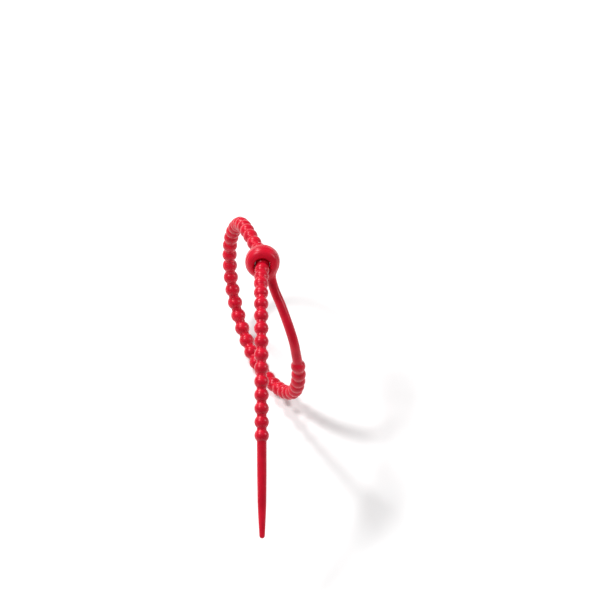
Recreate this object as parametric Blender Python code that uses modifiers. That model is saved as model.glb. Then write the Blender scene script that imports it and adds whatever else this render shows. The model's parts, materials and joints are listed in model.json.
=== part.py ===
"""Reusable beaded silicone tie, closed into a worn loop with its tail pulled through its eye.

A button head with a round eye, a smooth neck, a long beaded strap and a smooth pointed tail.
The loop lies round the X axis, close to the YZ plane, and +Z is up. The origin is the middle
of the loop, which is the middle of whatever the tie holds. The strap bends where one bead
meets the next, so it is divided there: each link is a ball that sits in the concave end of
the link before it, and it turns about its ball's centre.
"""

import math

import bmesh
import bpy
from mathutils import Matrix, Vector
from mathutils.geometry import interpolate_bezier

MM = 0.001

# The strap
BEAD_RADIUS = 2.6 * MM
ROD_RADIUS = 1.75 * MM
BEAD_PITCH = 4.79 * MM
LINK_GAP = 0.3 * MM
LOOP_BEADS = 34
EYE_BEADS = 4
TAIL_BEADS = 13

# The worn loop, nearly a circle: angle from the front (-Y) over the top (+Z) in degrees,
# radius in mm and sideways shift in mm. It starts at the eye, runs round the back and the
# bottom, and ends on the neck.
LOOP_RING = [
    (81.7, 36.3, -0.1),
    (94.0, 33.75, 0.2),
    (108.0, 32.7, 0.8),
    (125.0, 31.9, 1.9),
    (150.0, 31.7, 3.2),
    (185.0, 33.0, 2.4),
    (225.0, 33.1, 0.9),
    (265.0, 32.3, 0.7),
    (300.0, 31.4, 2.2),
    (328.0, 31.4, 3.0),
    (347.0, 31.9, 2.8),
    (368.0, 33.1, 2.3),
    (388.0, 33.3, 1.75),
    (408.0, 33.0, 0.8),
]
LOOP_RADIUS = 33.0 * MM
ENTRY_ANGLE = math.radians(LOOP_RING[0][0])

# The eye's axis, which the strap follows through the head, and the tail's direction
EYE_AZIMUTH = math.radians(-24.0)
EYE_RISE = math.radians(20.0)
TAIL_AZIMUTH = math.radians(-21.7)
EYE_BEADS_BEHIND = 1

# The head, a turned button about the eye's axis
HEAD_RADIUS = 6.2 * MM
EYE_RADIUS = 2.9 * MM
EYE_MOUTH_RADIUS = 3.25 * MM
HEAD_FRONT = 2.7 * MM
HEAD_BACK = -2.5 * MM
SHOULDER_RADIUS = 5.55 * MM
SHOULDER_DROP = 1.35 * MM
RIM_TOP = 0.8 * MM
RIM_BOTTOM = -2.0 * MM
BACK_RADIUS = 5.4 * MM

# The neck, from the head's rim to the first bead
NECK_TURN = math.radians(33.0)
NECK_LEAN = math.radians(6.0)
NECK_START = 4.6 * MM
NECK_ROOT_RADIUS = 2.1 * MM
NECK_ROOT_LENGTH = 7.0 * MM
NECK_PIECES = 3
NECK_LANDING = math.radians(LOOP_RING[-1][0])
NECK_PULL = 4.0 * MM

# The tail: its curve in the air, then its smooth end
TAIL_RISE_AT_END = math.radians(-42.0)
TAIL_BEADS_TO_BEND = 4.0
TAIL_ROD_LENGTH = 13.0 * MM
TAIL_MIDDLE_LENGTH = 10.5 * MM
TAIL_TIP_LENGTH = 13.0 * MM
TAIL_MIDDLE_RADIUS = 1.72 * MM
TAIL_TAPER_RADIUS = 1.6 * MM
TAIL_TIP_RADIUS = 0.95 * MM

# Fineness of the solids
STEPS = 14
BALL_ARCS = 5
CUP_ARCS = 2
CURVE_RESOLUTION = 5
WELD = 0.00001

RED = (0.62, 0.012, 0.022, 1.0)


def clear_scene():
    for obj in list(bpy.data.objects):
        bpy.data.objects.remove(obj, do_unlink=True)


def silicone(name):
    """A Principled material of moulded red silicone, one for each sub-part."""
    material = bpy.data.materials.new(name)
    material.use_nodes = True
    shader = material.node_tree.nodes["Principled BSDF"]
    shader.inputs["Base Color"].default_value = RED
    shader.inputs["Roughness"].default_value = 0.38
    shader.inputs["Metallic"].default_value = 0.0
    material.diffuse_color = RED
    return material


def smooth(obj):
    obj.data.shade_smooth()
    obj.data.set_sharp_from_angle(angle=math.radians(50.0))


def aligned(place, direction):
    """A placing whose local Z runs along direction."""
    turn = direction.to_track_quat("Z", "Y").to_matrix().to_4x4()
    return Matrix.Translation(place) @ turn


def turned(name, profile, placing, parts):
    """A solid of revolution about local Z; the profile's points are (radius, height)."""
    mesh = bpy.data.meshes.new(name)
    points = [(radius, 0.0, height) for radius, height in profile]
    edges = [(i, i + 1) for i in range(len(points) - 1)]
    mesh.from_pydata(points, edges, [])
    obj = bpy.data.objects.new(name, mesh)
    parts.objects.link(obj)
    obj.matrix_world = placing
    screw = obj.modifiers.new("turn", "SCREW")
    screw.axis = "Z"
    screw.steps = STEPS
    screw.render_steps = STEPS
    screw.use_merge_vertices = True
    screw.merge_threshold = WELD
    screw.use_smooth_shade = True
    mesh.materials.append(silicone(name))
    return obj


def arc(centre, radius, start, end, count):
    """Points (radius, height) on an arc about (0, centre), by angle from the top."""
    angles = [start + (end - start) * i / count for i in range(count + 1)]
    return [(radius * math.sin(a), centre + radius * math.cos(a)) for a in angles]


def cup(length, next_radius, rod_radius):
    """The concave end of a link, from its middle out to the rod's surface."""
    reach = next_radius + LINK_GAP
    half = math.asin(rod_radius / reach)
    points = arc(length, reach, math.pi, math.pi - half, CUP_ARCS)
    return [(0.0, length - reach)] + points[1:]


def ball(radius, rod_radius):
    """The ball of a link, from where the rod meets it down to its pole."""
    start = math.asin(min(1.0, rod_radius / radius))
    points = arc(0.0, radius, start, math.pi, BALL_ARCS)
    return points[:-1] + [(0.0, -radius)]


def bead_profile(length=BEAD_PITCH, next_radius=BEAD_RADIUS):
    return cup(length, next_radius, ROD_RADIUS) + ball(BEAD_RADIUS, ROD_RADIUS)


def rod_profile(length, radius, next_radius):
    """A smooth link: a half ball the size of its rod, the rod, and the next link's cup."""
    return cup(length, next_radius, next_radius) + ball(radius, radius)


def tip_profile(length, radius, end_radius):
    """The smooth end: it tapers from its ball to a rounded tip."""
    rounding = arc(length - end_radius, end_radius, 0.0, math.pi / 2.0, BALL_ARCS - 1)
    return [(0.0, length)] + rounding[1:] + ball(radius, radius)


def slope(rows, index, column):
    """The slope of one column of the ring at a row, from its neighbours."""
    before = rows[max(index - 1, 0)]
    after = rows[min(index + 1, len(rows) - 1)]
    return (after[column] - before[column]) / (after[0] - before[0])


def ring_value(degrees, column):
    """The ring's radius or shift at an angle, on a smooth curve through its rows."""
    rows = LOOP_RING
    index = 0
    while index < len(rows) - 2 and degrees > rows[index + 1][0]:
        index += 1
    span = rows[index + 1][0] - rows[index][0]
    t = (degrees - rows[index][0]) / span
    start = rows[index][column]
    end = rows[index + 1][column]
    out = slope(rows, index, column) * span
    into = slope(rows, index + 1, column) * span
    return (start * (1 - t) ** 2 * (1 + 2 * t) + end * t ** 2 * (3 - 2 * t)
            + out * t * (1 - t) ** 2 - into * t ** 2 * (1 - t))


def loop_point(angle):
    """A point of the worn loop; the angle runs from the front (-Y) over the top (+Z)."""
    degrees = math.degrees(angle)
    radius = ring_value(degrees, 1) * MM
    shift = ring_value(degrees, 2) * MM
    return Vector((shift, -radius * math.cos(angle), radius * math.sin(angle)))


def step_round(angle, place):
    """The larger angle at which the loop is one pitch away from a place on it."""
    low = angle
    high = angle + 4.0 * BEAD_PITCH / LOOP_RADIUS
    for _ in range(60):
        middle = (low + high) / 2.0
        if (loop_point(middle) - place).length < BEAD_PITCH:
            low = middle
        else:
            high = middle
    return low


def loop_bead_places():
    """The loop's bead centres in strap order, from the neck to the eye, and the first's angle."""
    angle = ENTRY_ANGLE
    places = []
    for _ in range(LOOP_BEADS):
        angle = step_round(angle, loop_point(angle))
        places.append(loop_point(angle))
    return places[::-1], angle


def direction(azimuth, rise):
    """A unit vector towards the front (-Y), turned by azimuth and rising from the horizontal."""
    flat = Vector((math.sin(azimuth), -math.cos(azimuth), 0.0))
    return flat * math.cos(rise) + Vector((0.0, 0.0, math.sin(rise)))


def eye_axis():
    return direction(EYE_AZIMUTH, EYE_RISE)


def head_centre():
    return loop_point(ENTRY_ANGLE) + eye_axis() * BEAD_PITCH * EYE_BEADS_BEHIND


def tail_rise(step):
    """The tail droops from the eye's rise towards the rise of its smooth end."""
    fall = math.exp(-step / TAIL_BEADS_TO_BEND)
    return TAIL_RISE_AT_END + (EYE_RISE - TAIL_RISE_AT_END) * fall


def link(name, profile, place, target, parts):
    return turned(name, profile, aligned(place, (target - place).normalized()), parts)


def make_loop_beads(parts):
    places, _ = loop_bead_places()
    targets = places[1:] + [loop_point(ENTRY_ANGLE)]
    for number, (place, target) in enumerate(zip(places, targets), start=1):
        link(f"loop_bead_{number:02d}", bead_profile(), place, target, parts)


def make_eye_beads(parts):
    """The straight stretch of strap that lies in the eye."""
    place = loop_point(ENTRY_ANGLE)
    for number in range(1, EYE_BEADS + 1):
        target = place + eye_axis() * BEAD_PITCH
        link(f"eye_bead_{number}", bead_profile(), place, target, parts)
        place = target
    return place


def make_tail(place, parts):
    for number in range(1, TAIL_BEADS):
        target = place + direction(TAIL_AZIMUTH, tail_rise(number)) * BEAD_PITCH
        link(f"tail_bead_{number:02d}", bead_profile(), place, target, parts)
        place = target
    run = direction(TAIL_AZIMUTH, tail_rise(TAIL_BEADS))
    smooth_links = [
        (f"tail_bead_{TAIL_BEADS:02d}", bead_profile(TAIL_ROD_LENGTH, TAIL_MIDDLE_RADIUS),
         TAIL_ROD_LENGTH),
        ("tail_middle", rod_profile(TAIL_MIDDLE_LENGTH, TAIL_MIDDLE_RADIUS, TAIL_TAPER_RADIUS),
         TAIL_MIDDLE_LENGTH),
        ("tail_tip", tip_profile(TAIL_TIP_LENGTH, TAIL_TAPER_RADIUS, TAIL_TIP_RADIUS),
         TAIL_TIP_LENGTH),
    ]
    for name, profile, length in smooth_links:
        target = place + run * length
        link(name, profile, place, target, parts)
        place = target


def rim_direction(turn):
    """Downwards in the plane of the button, turned towards +X."""
    axis = eye_axis()
    side = Vector((math.cos(EYE_AZIMUTH), math.sin(EYE_AZIMUTH), 0.0))
    down = axis.cross(side).normalized()
    if down.z > 0.0:
        down.negate()
    return down * math.cos(turn) + side * math.sin(turn)


def neck_path():
    """Closely spaced points from inside the head's rim to the first bead's centre."""
    _, first_bead_angle = loop_bead_places()
    count = 40
    step = (first_bead_angle - NECK_LANDING) / count
    landed = [loop_point(NECK_LANDING + step * i) for i in range(count + 1)]
    start = head_centre() + rim_direction(NECK_TURN) * NECK_START
    first = start + rim_direction(NECK_LEAN) * NECK_PULL
    last = landed[0] - (landed[1] - landed[0]).normalized() * NECK_PULL
    return interpolate_bezier(start, first, last, landed[0], 24) + landed[1:]


def walk(points, distance):
    """The place at a distance along a line of points."""
    for near, far in zip(points, points[1:]):
        length = (far - near).length
        if distance <= length:
            return near.lerp(far, distance / length)
        distance -= length
    return points[-1].copy()


def path_length(points):
    return sum((far - near).length for near, far in zip(points, points[1:]))


def tube(name, path, start, end, radius_at, count, guides):
    """A round tube along a stretch of a path, as a mesh, with a rounded start."""
    curve = bpy.data.curves.new(name, "CURVE")
    curve.dimensions = "3D"
    curve.bevel_depth = 1.0
    curve.bevel_resolution = CURVE_RESOLUTION
    curve.use_fill_caps = True
    radius = radius_at(start)
    rounded = [(-radius * math.cos(a), radius * math.sin(a))
               for a in [math.radians(angle) for angle in (12.0, 35.0, 60.0)]]
    ahead = (walk(path, start + radius) - walk(path, start)).normalized()
    stops = [(walk(path, start) + ahead * back, size) for back, size in rounded]
    for i in range(count + 1):
        distance = start + (end - start) * i / count
        stops.append((walk(path, distance), radius_at(distance)))
    spline = curve.splines.new("POLY")
    spline.points.add(len(stops) - 1)
    for point, (place, size) in zip(spline.points, stops):
        point.co = (*place, 1.0)
        point.radius = size
    guide = bpy.data.objects.new(name, curve)
    guides.objects.link(guide)
    evaluated = guide.evaluated_get(bpy.context.evaluated_depsgraph_get())
    mesh = bpy.data.meshes.new_from_object(evaluated)
    bpy.data.objects.remove(guide, do_unlink=True)
    shape = bmesh.new()
    shape.from_mesh(mesh)
    bmesh.ops.remove_doubles(shape, verts=shape.verts, dist=WELD)
    shape.to_mesh(mesh)
    shape.free()
    return mesh


def ball_cutter(name, place, radius, cutters):
    """A hidden ball that hollows the end of a link for the next link's ball."""
    bpy.ops.mesh.primitive_uv_sphere_add(segments=STEPS, ring_count=10, radius=radius)
    obj = bpy.context.active_object
    obj.name = name
    obj.location = place
    for other in list(obj.users_collection):
        other.objects.unlink(obj)
    cutters.objects.link(obj)
    obj.hide_render = True
    obj.display_type = "WIRE"
    return obj


def boolean(obj, operation, other):
    modifier = obj.modifiers.new(other.name, "BOOLEAN")
    modifier.operation = operation
    modifier.solver = "EXACT"
    modifier.object = other


def head_profile():
    """The button's section: a domed front, a rim wall, a flat back and the eye through it."""
    crown = EYE_MOUTH_RADIUS + 0.45 * MM
    dome = []
    for share in (0.0, 0.35, 0.7, 1.0):
        radius = crown + (SHOULDER_RADIUS - crown) * share
        dome.append((radius, HEAD_FRONT - SHOULDER_DROP * share ** 2))
    rim = [
        (HEAD_RADIUS - 0.1 * MM, RIM_TOP),
        (HEAD_RADIUS, RIM_TOP - 0.5 * MM),
        (HEAD_RADIUS, RIM_BOTTOM + 0.3 * MM),
        (HEAD_RADIUS - 0.25 * MM, RIM_BOTTOM - 0.35 * MM),
    ]
    back = [(BACK_RADIUS, HEAD_BACK), (EYE_MOUTH_RADIUS, HEAD_BACK)]
    eye = [(EYE_RADIUS, HEAD_BACK + 0.35 * MM), (EYE_RADIUS, HEAD_FRONT - 0.9 * MM)]
    mouth = [(EYE_MOUTH_RADIUS, HEAD_FRONT - 0.25 * MM)]
    outline = dome + rim + back + eye + mouth
    return outline + outline[:1]


def make_head(path, parts, cutters):
    head = turned("head", head_profile(), aligned(head_centre(), eye_axis()), parts)
    joint = NECK_ROOT_LENGTH

    def radius_at(distance):
        """The root narrows from a fillet at the rim to the neck's rod."""
        share = min(1.0, distance / (0.6 * NECK_ROOT_LENGTH))
        return NECK_ROOT_RADIUS + (ROD_RADIUS - NECK_ROOT_RADIUS) * share

    mesh = tube("neck_root", path, 0.0, joint, radius_at, 5, cutters)
    root = bpy.data.objects.new("neck_root", mesh)
    cutters.objects.link(root)
    root.hide_render = True
    root.display_type = "WIRE"
    boolean(head, "UNION", root)
    boolean(head, "DIFFERENCE",
            ball_cutter("head_cup", walk(path, joint), ROD_RADIUS + LINK_GAP, cutters))


def make_neck(path, parts, cutters):
    total = path_length(path)
    length = (total - NECK_ROOT_LENGTH) / NECK_PIECES
    for number in range(1, NECK_PIECES + 1):
        name = f"neck_{number}"
        start = NECK_ROOT_LENGTH + length * (number - 1)
        end = start + length
        mesh = tube(name, path, start, end, lambda distance: ROD_RADIUS, 6, cutters)
        mesh.materials.append(silicone(name))
        piece = bpy.data.objects.new(name, mesh)
        parts.objects.link(piece)
        last = number == NECK_PIECES
        reach = (BEAD_RADIUS if last else ROD_RADIUS) + LINK_GAP
        boolean(piece, "DIFFERENCE", ball_cutter(f"{name}_cup", walk(path, end), reach, cutters))
        smooth(piece)


def main():
    clear_scene()
    parts = bpy.data.collections.new("beaded_tie")
    cutters = bpy.data.collections.new("cutters")
    bpy.context.scene.collection.children.link(parts)
    bpy.context.scene.collection.children.link(cutters)
    path = neck_path()
    make_head(path, parts, cutters)
    make_neck(path, parts, cutters)
    make_loop_beads(parts)
    tail_start = make_eye_beads(parts)
    make_tail(tail_start, parts)


main()
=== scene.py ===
import json
import math

import bmesh
import bpy
import numpy as np
from mathutils import Matrix, Vector


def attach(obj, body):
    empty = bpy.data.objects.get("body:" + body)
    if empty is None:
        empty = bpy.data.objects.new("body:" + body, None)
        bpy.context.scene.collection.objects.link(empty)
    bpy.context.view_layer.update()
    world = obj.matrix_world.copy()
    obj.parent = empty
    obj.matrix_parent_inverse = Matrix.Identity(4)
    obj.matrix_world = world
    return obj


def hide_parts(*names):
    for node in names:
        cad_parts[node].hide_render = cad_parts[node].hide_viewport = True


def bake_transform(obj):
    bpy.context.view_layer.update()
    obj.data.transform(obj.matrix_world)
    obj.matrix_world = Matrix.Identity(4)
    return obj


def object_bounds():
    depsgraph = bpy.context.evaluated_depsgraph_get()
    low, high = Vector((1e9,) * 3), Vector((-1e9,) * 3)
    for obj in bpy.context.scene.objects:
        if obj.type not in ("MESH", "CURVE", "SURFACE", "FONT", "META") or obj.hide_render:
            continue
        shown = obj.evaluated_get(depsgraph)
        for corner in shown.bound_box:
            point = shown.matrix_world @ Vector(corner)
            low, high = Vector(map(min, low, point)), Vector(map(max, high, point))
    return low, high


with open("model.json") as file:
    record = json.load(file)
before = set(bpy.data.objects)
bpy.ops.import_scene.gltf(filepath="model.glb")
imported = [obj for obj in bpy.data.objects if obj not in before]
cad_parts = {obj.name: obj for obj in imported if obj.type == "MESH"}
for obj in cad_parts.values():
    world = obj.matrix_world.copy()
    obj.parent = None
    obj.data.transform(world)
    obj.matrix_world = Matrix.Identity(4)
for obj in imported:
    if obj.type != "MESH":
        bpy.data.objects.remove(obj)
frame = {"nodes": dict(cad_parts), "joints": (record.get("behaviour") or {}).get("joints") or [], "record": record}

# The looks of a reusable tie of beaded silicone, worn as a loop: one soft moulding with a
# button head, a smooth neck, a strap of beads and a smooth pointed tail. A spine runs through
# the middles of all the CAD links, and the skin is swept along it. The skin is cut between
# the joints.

CAD_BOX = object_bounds()
MM = 0.001

# The strap
BEAD_RADIUS = 2.6 * MM
ROD_RADIUS = 1.75 * MM
CREASE_RADIUS = 0.42 * MM
LOOP_BEADS = 34
EYE_BEADS = 4
TAIL_BEADS = 13
TAIL_MIDDLE_RADIUS = 1.72 * MM
TAIL_TAPER_RADIUS = 1.6 * MM
TAIL_TIP_RADIUS = 0.95 * MM
TAIL_TAPER_POWER = 1.15
END_RADIUS = 0.02 * MM

# The head: the button's section, its tilt and lift from the eye's axis, and the eye, which is
# tight in its middle and opens towards the front and the back
HEAD_SECTION = [
    (0.0, 2.7), (3.6, 2.7), (4.15, 2.64), (4.7, 2.42), (5.15, 2.1), (5.48, 1.68), (5.72, 1.2),
    (5.78, 1.0), (5.95, 0.86), (6.08, 0.5), (6.15, 0.0), (6.18, -0.9), (6.18, -1.7),
    (6.05, -2.2), (5.75, -2.5), (5.2, -2.62), (0.0, -2.62),
]
HEAD_TILT = math.radians(8.0)
HEAD_LIFT = 0.3 * MM
EYE_RADIUS = 2.67 * MM
FRONT_OPENING = 0.3 * MM
FRONT_OPENS = (0.2 * MM, 1.8 * MM)
BACK_OPENING = 0.5 * MM
BACK_OPENS = (1.2 * MM, 2.6 * MM)
MOUTH_SOFTNESS = 0.9 * MM
NECK_SOFTNESS = 1.7 * MM

# The neck, from the head's rim
NECK_TURN = math.radians(33.0)
NECK_START = 4.6 * MM
NECK_ROOT_RADIUS = 2.05 * MM
NECK_ROOT_LENGTH = 4.5 * MM
NECK_ROOT_POWER = 1.5

# Fineness
SIDES = 56
BALL_STATIONS = 11
CREASE_STATIONS = 4
CREASE_SPACING_POWER = 1.6
TIP_STATIONS = 8
POLE_STATIONS = 10
ROD_STEP = 0.4 * MM
SHARE_DIGITS = 4
VOXEL = 0.12 * MM
SETTLE_ROUNDS = 6
SETTLE_PROBE = 0.02 * MM
LEAST_SLOPE = 0.25
SHARP_ANGLE = math.radians(55.0)

# How many rings past its cut the neck's source mesh and its distance reach, and a distance
# that is larger than any in the head
SOURCE_OVERLAP = 3
DISTANCE_OVERLAP = 6
FAR = 1.0

# The camera's direction and distance, its view's width, and its view's middle from the origin
CAMERA_AZIMUTH = math.radians(-22.0)
CAMERA_ELEVATION = math.radians(50.0)
CAMERA_DISTANCE = 8.0
VIEW_WIDTH = 214.2 * MM
VIEW_RIGHT = 15.07 * MM
VIEW_UP = 3.9 * MM

# The silicone
TINT_SCALE = 260.0
TINT_DETAIL = 3.0
TINT_STOPS = [(0.32, (0.52, 0.004, 0.020, 1.0)), (0.68, (0.66, 0.006, 0.028, 1.0))]
ROUGHNESS_RANGE = (0.26, 0.38)
GRAIN_SCALE = 4200.0
GRAIN_DETAIL = 2.0
GRAIN_STRENGTH = 0.12
GRAIN_DEPTH = 0.03 * MM
SILICONE_IOR = 1.43
SPECULAR_TINT = (1.0, 0.55, 0.62, 1.0)
SUBSURFACE_WEIGHT = 0.2
SUBSURFACE_RADIUS = (1.0, 0.12, 0.10)
SUBSURFACE_SCALE = 0.8 * MM

# The studio: the floor, the even light, and the softboxes as (name, place, size, watts)
FLOOR_HALF = 4.0
FLOOR_DROP = 0.1 * MM
FLOOR_COLOUR = (0.93, 0.93, 0.93, 1.0)
FLOOR_ROUGHNESS = 0.9
FLOOR_SPECULAR = 0.1
WORLD_STRENGTH = 0.22
SOFTBOXES = [
    ("key", (-0.62, 0.20, 1.0), (0.22, 0.22), 9.0),
    ("back", (-0.22, 0.80, 0.85), (0.25, 0.18), 8.5),
    ("right", (0.95, -0.35, 0.60), (0.12, 0.5), 5.0),
]


# --- Where the strap runs -------------------------------------------------------------------

JOINTS = {joint["child"]: joint for joint in frame["joints"]}
BODIES = frame["record"]["behaviour"]["bodies"]
EYE_AXIS = Vector(JOINTS["eye_strap"]["axis"]).normalized()


def corners(node):
    """A CAD node's vertices, each once."""
    points = np.array([vertex.co for vertex in frame["nodes"][node].data.vertices], float)
    return np.unique(np.round(points, 7), axis=0)


def body_of(node):
    return next(body for body, nodes in BODIES.items() if node in nodes)


def ball_centre(node):
    """The centre of the ball that a turned link starts with.

    Its body's joint says it for the first link of a body. Otherwise the link's axis is the
    odd one of its principal axes, and the ball's pole is its end that lies on that axis.
    """
    body = body_of(node)
    joint = JOINTS.get(body, {})
    if BODIES[body][0] == node and joint.get("type") == "hinge":
        return Vector(joint["pos_m"])
    points = corners(node)
    middle = points.mean(axis=0)
    spread, directions = np.linalg.eigh(np.cov((points - middle).T))
    odd = 0 if spread[1] - spread[0] > spread[2] - spread[1] else 2
    axis = directions[:, odd]
    along = (points - middle) @ axis
    across = np.linalg.norm(points - middle - np.outer(along, axis), axis=1)
    if across[along.argmin()] > across[along.argmax()]:
        axis, along = -axis, -along
    return Vector(middle + axis * (along.min() + BEAD_RADIUS))


def middle_of(node):
    return Vector(corners(node).mean(axis=0))


def neck_root(head):
    """Where the neck leaves the head, on a circle inside its rim."""
    side = Vector((0.0, 0.0, 1.0)).cross(EYE_AXIS).normalized()
    down = side.cross(EYE_AXIS).normalized()
    if down.z > 0.0:
        down.negate()
    if side.x < 0.0:
        side.negate()
    return head + (down * math.cos(NECK_TURN) + side * math.sin(NECK_TURN)) * NECK_START


LOOP = [f"loop_bead_{number:02d}" for number in range(1, LOOP_BEADS + 1)]
EYE = [f"eye_bead_{number}" for number in range(1, EYE_BEADS + 1)]
TAIL = [f"tail_bead_{number:02d}" for number in range(1, TAIL_BEADS + 1)]
BEADS = LOOP + EYE + TAIL
HEAD_CENTRE = ball_centre("eye_bead_2")
LEVEL = EYE_AXIS.cross(Vector((0.0, 0.0, 1.0))).normalized()
BUTTON_AXIS = Matrix.Rotation(HEAD_TILT, 3, LEVEL) @ EYE_AXIS
BUTTON_CENTRE = HEAD_CENTRE + LEVEL.cross(BUTTON_AXIS) * HEAD_LIFT


def spine_marks():
    """The spine's points in order, as (name, place), from the head to the tail's end."""
    marks = [
        ("root", neck_root(HEAD_CENTRE)),
        ("neck_1", Vector(JOINTS["neck_upper"]["pos_m"])),
        ("neck_1_middle", middle_of("neck_1")),
        ("neck_2_middle", middle_of("neck_2")),
        ("neck_3", Vector(JOINTS["neck_lower"]["pos_m"])),
        ("neck_3_middle", middle_of("neck_3")),
    ]
    marks += [(node, ball_centre(node)) for node in BEADS]
    middle = ball_centre("tail_middle")
    tip = ball_centre("tail_tip")
    run = (tip - middle).normalized()
    length = max((Vector(point) - tip).dot(run) for point in corners("tail_tip"))
    return marks + [("tail_middle", middle), ("tail_tip", tip), ("end", tip + run * length)]


MARKS = spine_marks()
NAMES = [name for name, _ in MARKS]
PLACES = [place for _, place in MARKS]


def mark_tangents():
    """The spine's direction at each of its points."""
    steps = [(after - before).normalized() for before, after in zip(PLACES, PLACES[1:])]
    inner = [(before + after).normalized() for before, after in zip(steps, steps[1:])]
    return [steps[0]] + inner + [steps[-1]]


TANGENTS = mark_tangents()


def spine_point(segment, share):
    """A point of the smooth spine, and its direction there."""
    start, end = PLACES[segment], PLACES[segment + 1]
    length = (end - start).length
    out, into = TANGENTS[segment] * length, TANGENTS[segment + 1] * length
    t = share
    place = (start * (1 + 2 * t) * (1 - t) ** 2 + end * t ** 2 * (3 - 2 * t)
             + out * t * (1 - t) ** 2 - into * t ** 2 * (1 - t))
    slope = ((end - start) * 6 * t * (1 - t) + out * (1 - t) * (1 - 3 * t)
             - into * t * (2 - 3 * t))
    return place, slope.normalized()


# --- How thick it is ------------------------------------------------------------------------

CREASE_SINE = (ROD_RADIUS + CREASE_RADIUS) / (BEAD_RADIUS + CREASE_RADIUS)
CREASE_ANGLE = math.asin(CREASE_SINE)
BALL_END = BEAD_RADIUS * math.cos(CREASE_ANGLE)
CREASE_END = (BEAD_RADIUS + CREASE_RADIUS) * math.cos(CREASE_ANGLE)


def bead_thickness(distance, rod=ROD_RADIUS):
    """The radius at a distance from a bead's middle: a ball, a rounded crease, the rod."""
    if distance <= BALL_END:
        return math.sqrt(BEAD_RADIUS ** 2 - distance ** 2)
    if distance < CREASE_END:
        drop = math.sqrt(max(0.0, CREASE_RADIUS ** 2 - (CREASE_END - distance) ** 2))
        return ROD_RADIUS + CREASE_RADIUS - drop
    return rod


def bead_distances():
    """Distances from a bead's middle at which the skin has a ring, out to the rod."""
    quarter = math.pi / 2
    ball = [BEAD_RADIUS * math.cos(quarter - (quarter - CREASE_ANGLE) * i / BALL_STATIONS)
            for i in range(BALL_STATIONS + 1)]
    width = CREASE_END - BALL_END
    crease = [CREASE_END - width * (1 - i / CREASE_STATIONS) ** CREASE_SPACING_POWER
              for i in range(1, CREASE_STATIONS + 1)]
    return ball + crease


def thickness(segment, share):
    """The skin's radius on a stretch of the spine between two marks."""
    name, after = NAMES[segment], NAMES[segment + 1]
    length = (PLACES[segment + 1] - PLACES[segment]).length
    done, left = share * length, (1 - share) * length
    if name in BEADS and after in BEADS:
        return bead_thickness(min(done, left))
    if after in BEADS:
        return bead_thickness(left)
    if name in BEADS:
        return bead_thickness(done, ROD_RADIUS + (TAIL_MIDDLE_RADIUS - ROD_RADIUS) * share)
    if name == "tail_middle":
        return TAIL_MIDDLE_RADIUS + (TAIL_TAPER_RADIUS - TAIL_MIDDLE_RADIUS) * share
    if name == "tail_tip":
        narrowing = (TAIL_TAPER_RADIUS - TAIL_TIP_RADIUS) * share ** TAIL_TAPER_POWER
        taper = TAIL_TAPER_RADIUS - narrowing
        if left < TAIL_TIP_RADIUS:
            return max(END_RADIUS, math.sqrt(max(0.0, left * (2 * taper - left))))
        return taper
    return ROD_RADIUS


def shares(segment):
    """The shares of a stretch at which the skin has a ring, its first mark included."""
    name, after = NAMES[segment], NAMES[segment + 1]
    length = (PLACES[segment + 1] - PLACES[segment]).length
    near = bead_distances()
    found = {0.0, 0.5}
    if name in BEADS:
        found |= {d / length for d in near}
    if after in BEADS:
        found |= {1 - d / length for d in near if d > 0.0}
    if not (name in BEADS and after in BEADS):
        low = CREASE_END if name in BEADS else 0.0
        high = length - (CREASE_END if after in BEADS else 0.0)
        count = math.ceil((high - low) / ROD_STEP)
        found |= {(low + (high - low) * i / count) / length for i in range(1, count)}
    if after == "end":
        steps = [TAIL_TIP_RADIUS * (1 - math.cos(math.pi / 2 * i / TIP_STATIONS))
                 for i in range(TIP_STATIONS + 1)]
        found |= {1 - step / length for step in steps}
    last = 1.0 - 10.0 ** -SHARE_DIGITS
    return sorted({round(share, SHARE_DIGITS) for share in found if share < last})


# --- The skin's rings -----------------------------------------------------------------------

def make_stations():
    """Every ring of the skin: (segment, share, place, direction, radius)."""
    rows = []
    for segment in range(len(MARKS) - 1):
        for share in shares(segment):
            place, heading = spine_point(segment, share)
            rows.append((segment, share, place, heading, thickness(segment, share)))
    place, heading = spine_point(len(MARKS) - 2, 1.0)
    rows.append((len(MARKS) - 1, 0.0, place, heading, END_RADIUS))
    return rows


STATIONS = make_stations()


def carried_sides():
    """A direction across the spine at each ring, carried along without twist."""
    side = STATIONS[0][3].orthogonal().normalized()
    found = [side]
    for before, after in zip(STATIONS, STATIONS[1:]):
        side = before[3].rotation_difference(after[3]) @ side
        side = (side - after[3] * side.dot(after[3])).normalized()
        found.append(side)
    return found


ACROSS = carried_sides()


def station(name, share=0.5):
    """The number of the ring at a share of the stretch that starts at a mark."""
    segment = NAMES.index(name)
    gaps = [abs(row[0] + row[1] - segment - share) for row in STATIONS]
    return gaps.index(min(gaps))


def ring(place, heading, side, radius):
    other = heading.cross(side)
    turns = [2 * math.pi * i / SIDES for i in range(SIDES)]
    return [place + (side * math.cos(a) + other * math.sin(a)) * radius for a in turns]


def skin_mesh(name, rings):
    """A closed tube through rings of points, with flat ends."""
    shape = bmesh.new()
    rows = [[shape.verts.new(point) for point in points] for points in rings]
    for row, following in zip(rows, rows[1:]):
        for i in range(SIDES):
            j = (i + 1) % SIDES
            shape.faces.new((row[i], row[j], following[j], following[i]))
    for row, order in ((rows[0], -1), (rows[-1], 1)):
        centre = shape.verts.new(sum((vertex.co for vertex in row), Vector()) / SIDES)
        for i in range(SIDES):
            pair = (row[i], row[(i + 1) % SIDES])[::order]
            shape.faces.new((*pair, centre))
    bmesh.ops.recalc_face_normals(shape, faces=shape.faces)
    mesh = bpy.data.meshes.new(name)
    shape.to_mesh(mesh)
    shape.free()
    return mesh


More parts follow.
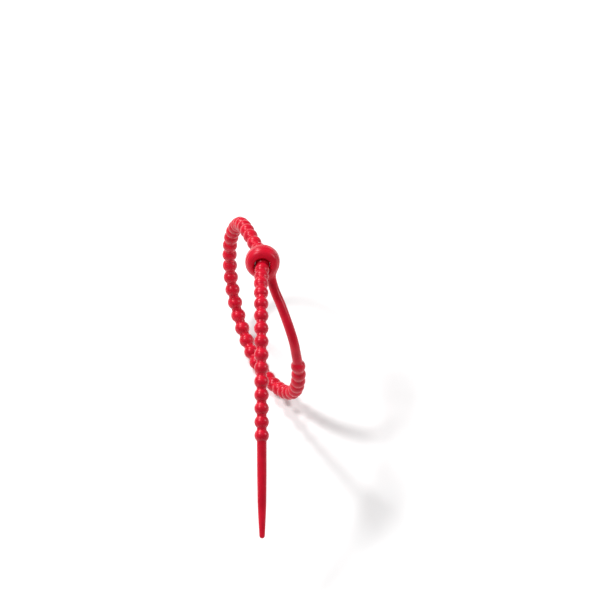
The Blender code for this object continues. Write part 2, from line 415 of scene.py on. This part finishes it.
def add_piece(name, mesh, nodes, material):
    piece = bpy.data.objects.new(name, mesh)
    bpy.context.scene.collection.objects.link(piece)
    mesh.shade_smooth()
    mesh.set_sharp_from_angle(angle=SHARP_ANGLE)
    mesh.materials.append(material)
    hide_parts(*nodes)
    return piece


def rings_between(first, last):
    return [ring(*STATIONS[i][2:4], ACROSS[i], STATIONS[i][4]) for i in range(first, last + 1)]


def bend(piece, before, after, mark):
    """Bakes the piece's placement into its mesh."""
    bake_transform(piece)


# --- The head -------------------------------------------------------------------------------

def section_distance(radius, height):
    """Signed distance to the button's section, negative inside."""
    outline = np.array(HEAD_SECTION) * MM
    best = np.full(radius.shape, FAR)
    inside = np.zeros(radius.shape, bool)
    for start, end in zip(outline, np.roll(outline, -1, axis=0)):
        edge = end - start
        away = np.stack([radius - start[0], height - start[1]])
        share = np.clip((away[0] * edge[0] + away[1] * edge[1]) / (edge @ edge), 0.0, 1.0)
        gap = np.hypot(away[0] - edge[0] * share, away[1] - edge[1] * share)
        if start[0] > 0.0 or end[0] > 0.0:
            best = np.minimum(best, gap)
        crosses = (start[1] > height) != (end[1] > height)
        rise = end[1] - start[1]
        at = start[0] + edge[0] * (height - start[1]) / (rise if rise else 1.0)
        inside ^= crosses & (radius < at)
    return np.where(inside, -best, best)


def soft_union(one, other, softness):
    """Signed distance to two shapes that run into each other over a soft width."""
    share = np.clip(0.5 + 0.5 * (other - one) / softness, 0.0, 1.0)
    return other + (one - other) * share - softness * share * (1.0 - share)


def smooth_step(value, start, end):
    """Rises smoothly from 0 at the start to 1 at the end."""
    share = np.clip((value - start) / (end - start), 0.0, 1.0)
    return share ** 2 * (3.0 - 2.0 * share)


def neck_distance(points, first, last):
    """Signed distance to the neck, which narrows from its root to the rod."""
    best = np.full(len(points), FAR)
    run = 0.0
    for i in range(first, last):
        start, end = np.array(STATIONS[i][2]), np.array(STATIONS[i + 1][2])
        edge = end - start
        length = math.sqrt(edge @ edge)
        share = np.clip((points - start) @ edge / max(edge @ edge, 1e-16), 0.0, 1.0)
        gap = np.linalg.norm(points - start - np.outer(share, edge), axis=1)
        root = np.clip(1.0 - (run + share * length) / NECK_ROOT_LENGTH, 0.0, 1.0)
        size = ROD_RADIUS + (NECK_ROOT_RADIUS - ROD_RADIUS) * root ** NECK_ROOT_POWER
        best = np.minimum(best, gap - size)
        run += length
    return best


def turned(points, centre, axis):
    """The radius and height of points about an axis through a centre."""
    away = points - np.array(centre)
    height = away @ np.array(axis)
    return np.linalg.norm(away - np.outer(height, np.array(axis)), axis=1), height


def head_distance(points, first, last):
    """Signed distance to the head and neck: a button, the neck run into it, less the eye."""
    button = section_distance(*turned(points, BUTTON_CENTRE, BUTTON_AXIS))
    solid = soft_union(button, neck_distance(points, first, last), NECK_SOFTNESS)
    radius, height = turned(points, HEAD_CENTRE, EYE_AXIS)
    eye = EYE_RADIUS + FRONT_OPENING * smooth_step(height, *FRONT_OPENS)
    eye += BACK_OPENING * smooth_step(-height, *BACK_OPENS)
    return -soft_union(-solid, radius - eye, MOUTH_SOFTNESS)


def settle(points, first, last):
    """Moves points that are near the head's surface onto it."""
    for _ in range(SETTLE_ROUNDS):
        value = head_distance(points, first, last)
        slope = np.stack([
            head_distance(points + step, first, last) - head_distance(points - step, first, last)
            for step in SETTLE_PROBE * np.eye(3)
        ], axis=1) / (2 * SETTLE_PROBE)
        steep = np.maximum((slope ** 2).sum(axis=1), LEAST_SLOPE)
        move = slope * (value / steep)[:, None]
        points = points - np.clip(move, -2 * VOXEL, 2 * VOXEL)
    return points


def turned_button(shape):
    """The button with its eye, turned from its section, as a start for the fine surface."""
    outer = [(radius * MM, height * MM) for radius, height in HEAD_SECTION if radius > 0.0]
    outline = [(EYE_RADIUS, outer[0][1])] + outer + [(EYE_RADIUS, outer[-1][1])]
    side = BUTTON_AXIS.orthogonal().normalized()
    rows = [ring(BUTTON_CENTRE + BUTTON_AXIS * height, BUTTON_AXIS, side, radius)
            for radius, height in outline]
    loops = [[shape.verts.new(point) for point in row] for row in rows]
    for row, following in zip(loops, loops[1:] + loops[:1]):
        for i in range(SIDES):
            j = (i + 1) % SIDES
            shape.faces.new((row[i], row[j], following[j], following[i]))


def voxelled(mesh):
    """The mesh as one even skin."""
    source = bpy.data.objects.new("head_source", mesh)
    bpy.context.scene.collection.objects.link(source)
    remesh = source.modifiers.new("even", "REMESH")
    remesh.mode = "VOXEL"
    remesh.voxel_size = VOXEL
    depsgraph = bpy.context.evaluated_depsgraph_get()
    even = bpy.data.meshes.new_from_object(source.evaluated_get(depsgraph))
    bpy.data.objects.remove(source)
    return even


def make_head(material):
    """The button and the first part of the neck, run into each other."""
    first, last = 0, station("neck_2_middle")
    shape = bmesh.new()
    turned_button(shape)
    bmesh.ops.recalc_face_normals(shape, faces=shape.faces)
    shape.from_mesh(skin_mesh("neck_source", rings_between(first, last + SOURCE_OVERLAP)))
    mesh = bpy.data.meshes.new("head_source")
    shape.to_mesh(mesh)
    shape.free()
    even = voxelled(mesh)
    points = np.array([vertex.co for vertex in even.vertices], float)
    points = settle(points, first, last + DISTANCE_OVERLAP)
    even.vertices.foreach_set("co", points.astype(np.float32).ravel())
    cut = bmesh.new()
    cut.from_mesh(even)
    everything = cut.verts[:] + cut.edges[:] + cut.faces[:]
    bmesh.ops.bisect_plane(cut, geom=everything, plane_co=STATIONS[last][2],
                           plane_no=STATIONS[last][3], clear_outer=True)
    rim = [edge for edge in cut.edges if edge.is_boundary]
    bmesh.ops.contextual_create(cut, geom=rim)
    cut.to_mesh(even)
    cut.free()
    head = add_piece("head_and_neck", even, ["head", "neck_1", "neck_2"], material)
    bend(head, "head", "neck_upper", "neck_1")


# --- The strap ------------------------------------------------------------------------------

def strap_piece(name, start, end, nodes, bodies, mark, material):
    """A stretch of skin from one ring to another."""
    piece = add_piece(name, skin_mesh(name, rings_between(start, end)), nodes, material)
    bend(piece, *bodies, mark)


def make_loop(material):
    """The loop, in stretches that are cut between the beads half way between two joints."""
    joined = [body for body in BODIES if body == "neck_lower" or body.startswith("loop_bead")]
    firsts = [next(node for node in BODIES[body] if node in LOOP) for body in joined]
    starts = ["neck_3"] + firsts[1:]
    cut = station("neck_2_middle")
    done = 0
    for number, body in enumerate(joined):
        before = "neck_upper" if number == 0 else joined[number - 1]
        if number + 1 < len(joined):
            here = LOOP.index(firsts[number])
            there = LOOP.index(firsts[number + 1])
            last_bead = LOOP[(here + there) // 2 - 1] if there - here > 1 else LOOP[here]
            end = station(last_bead)
        else:
            last_bead = LOOP[-1]
            length = (ball_centre("eye_bead_1") - PLACES[NAMES.index(last_bead)]).length
            end = station(last_bead, 1 - BALL_END / length)
        covered = LOOP[done:LOOP.index(last_bead) + 1]
        done += len(covered)
        nodes = covered + (["neck_3"] if number == 0 else [])
        strap_piece(f"strap_{number + 1}", cut, end, nodes, (before, body), starts[number],
                    material)
        cut = end


def make_eye_strap(material):
    """The straight stretch in the eye. It starts with a whole ball, where the loop closes."""
    start = station("eye_bead_1", 0.0)
    _, _, place, heading, _ = STATIONS[start]
    pole = []
    for i in range(1, POLE_STATIONS):
        turn = math.pi / 2 * i / POLE_STATIONS
        back = -BEAD_RADIUS * math.cos(turn)
        pole.append(ring(place + heading * back, heading, ACROSS[start],
                         BEAD_RADIUS * math.sin(turn)))
    rings = pole + rings_between(start, station("eye_bead_4"))
    piece = add_piece("strap_in_eye", skin_mesh("strap_in_eye", rings), EYE, material)
    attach(piece, "eye_strap")


def make_tail(material):
    """The hanging beads, each with a joint, and the smooth end."""
    links = TAIL + ["tail_middle", "tail_tip"]
    cut = station("eye_bead_4")
    before = "eye_strap"
    for link in links:
        end = len(STATIONS) - 1 if link == "tail_tip" else station(link)
        strap_piece(f"{link}_skin", cut, end, [link], (before, link), link, material)
        cut, before = end, link


# --- Materials ------------------------------------------------------------------------------

def silicone():
    """Moulded red silicone: satin, a little clouded, with a fine matt grain."""
    material = bpy.data.materials.new("red_silicone")
    material.use_nodes = True
    nodes, links = material.node_tree.nodes, material.node_tree.links
    shader = nodes["Principled BSDF"]
    where = nodes.new("ShaderNodeTexCoord")
    cloud = nodes.new("ShaderNodeTexNoise")
    cloud.inputs["Scale"].default_value = TINT_SCALE
    cloud.inputs["Detail"].default_value = TINT_DETAIL
    links.new(where.outputs["Object"], cloud.inputs["Vector"])
    tint = nodes.new("ShaderNodeValToRGB")
    for element, (position, colour) in zip(tint.color_ramp.elements, TINT_STOPS):
        element.position = position
        element.color = colour
    links.new(cloud.outputs["Fac"], tint.inputs["Fac"])
    links.new(tint.outputs["Color"], shader.inputs["Base Color"])
    satin = nodes.new("ShaderNodeMapRange")
    satin.inputs["To Min"].default_value = ROUGHNESS_RANGE[0]
    satin.inputs["To Max"].default_value = ROUGHNESS_RANGE[1]
    links.new(cloud.outputs["Fac"], satin.inputs["Value"])
    links.new(satin.outputs["Result"], shader.inputs["Roughness"])
    grain = nodes.new("ShaderNodeTexNoise")
    grain.inputs["Scale"].default_value = GRAIN_SCALE
    grain.inputs["Detail"].default_value = GRAIN_DETAIL
    links.new(where.outputs["Object"], grain.inputs["Vector"])
    bump = nodes.new("ShaderNodeBump")
    bump.inputs["Strength"].default_value = GRAIN_STRENGTH
    bump.inputs["Distance"].default_value = GRAIN_DEPTH
    links.new(grain.outputs["Fac"], bump.inputs["Height"])
    links.new(bump.outputs["Normal"], shader.inputs["Normal"])
    shader.inputs["IOR"].default_value = SILICONE_IOR
    shader.inputs["Specular Tint"].default_value = SPECULAR_TINT
    shader.inputs["Subsurface Weight"].default_value = SUBSURFACE_WEIGHT
    shader.inputs["Subsurface Radius"].default_value = SUBSURFACE_RADIUS
    shader.inputs["Subsurface Scale"].default_value = SUBSURFACE_SCALE
    return material


def pale_floor():
    material = bpy.data.materials.new("pale_floor")
    material.use_nodes = True
    shader = material.node_tree.nodes["Principled BSDF"]
    shader.inputs["Base Color"].default_value = FLOOR_COLOUR
    shader.inputs["Roughness"].default_value = FLOOR_ROUGHNESS
    shader.inputs["Specular IOR Level"].default_value = FLOOR_SPECULAR
    return material


# --- The studio -----------------------------------------------------------------------------

def make_floor():
    height = CAD_BOX[0].z - FLOOR_DROP
    mesh = bpy.data.meshes.new("floor")
    square = [(-1, -1), (1, -1), (1, 1), (-1, 1)]
    corners_of_floor = [(x * FLOOR_HALF, y * FLOOR_HALF, height) for x, y in square]
    mesh.from_pydata(corners_of_floor, [], [(0, 1, 2, 3)])
    mesh.materials.append(pale_floor())
    floor = bpy.data.objects.new("floor", mesh)
    bpy.context.scene.collection.objects.link(floor)


def camera_axes():
    """The camera's right, up and back directions."""
    back = Vector((math.sin(CAMERA_AZIMUTH) * math.cos(CAMERA_ELEVATION),
                   -math.cos(CAMERA_AZIMUTH) * math.cos(CAMERA_ELEVATION),
                   math.sin(CAMERA_ELEVATION)))
    right = Vector((math.cos(CAMERA_AZIMUTH), math.sin(CAMERA_AZIMUTH), 0.0))
    return right, back.cross(right), back


def make_camera():
    right, up, back = camera_axes()
    data = bpy.data.cameras.new("camera")
    data.lens = data.sensor_width * CAMERA_DISTANCE / VIEW_WIDTH
    camera = bpy.data.objects.new("camera", data)
    bpy.context.scene.collection.objects.link(camera)
    camera.location = right * VIEW_RIGHT + up * VIEW_UP + back * CAMERA_DISTANCE
    camera.rotation_euler = back.to_track_quat("Z", "Y").to_euler()
    bpy.context.scene.camera = camera


def softbox(name, place, size, power):
    """A rectangular soft light that faces the object."""
    data = bpy.data.lights.new(name, "AREA")
    data.shape = "RECTANGLE"
    data.size, data.size_y = size
    data.energy = power
    light = bpy.data.objects.new(name, data)
    bpy.context.scene.collection.objects.link(light)
    light.location = place
    light.rotation_euler = Vector(place).to_track_quat("Z", "Y").to_euler()


def make_light():
    world = bpy.data.worlds.new("studio")
    bpy.context.scene.world = world
    world.use_nodes = True
    background = world.node_tree.nodes["Background"]
    background.inputs["Color"].default_value = (1.0, 1.0, 1.0, 1.0)
    background.inputs["Strength"].default_value = WORLD_STRENGTH
    for name, place, size, power in SOFTBOXES:
        softbox(name, place, size, power)
    bpy.context.scene.view_settings.view_transform = "Standard"


def main():
    make_camera()
    make_light()
    make_floor()
    material = silicone()
    make_head(material)
    make_loop(material)
    make_eye_strap(material)
    make_tail(material)


main()
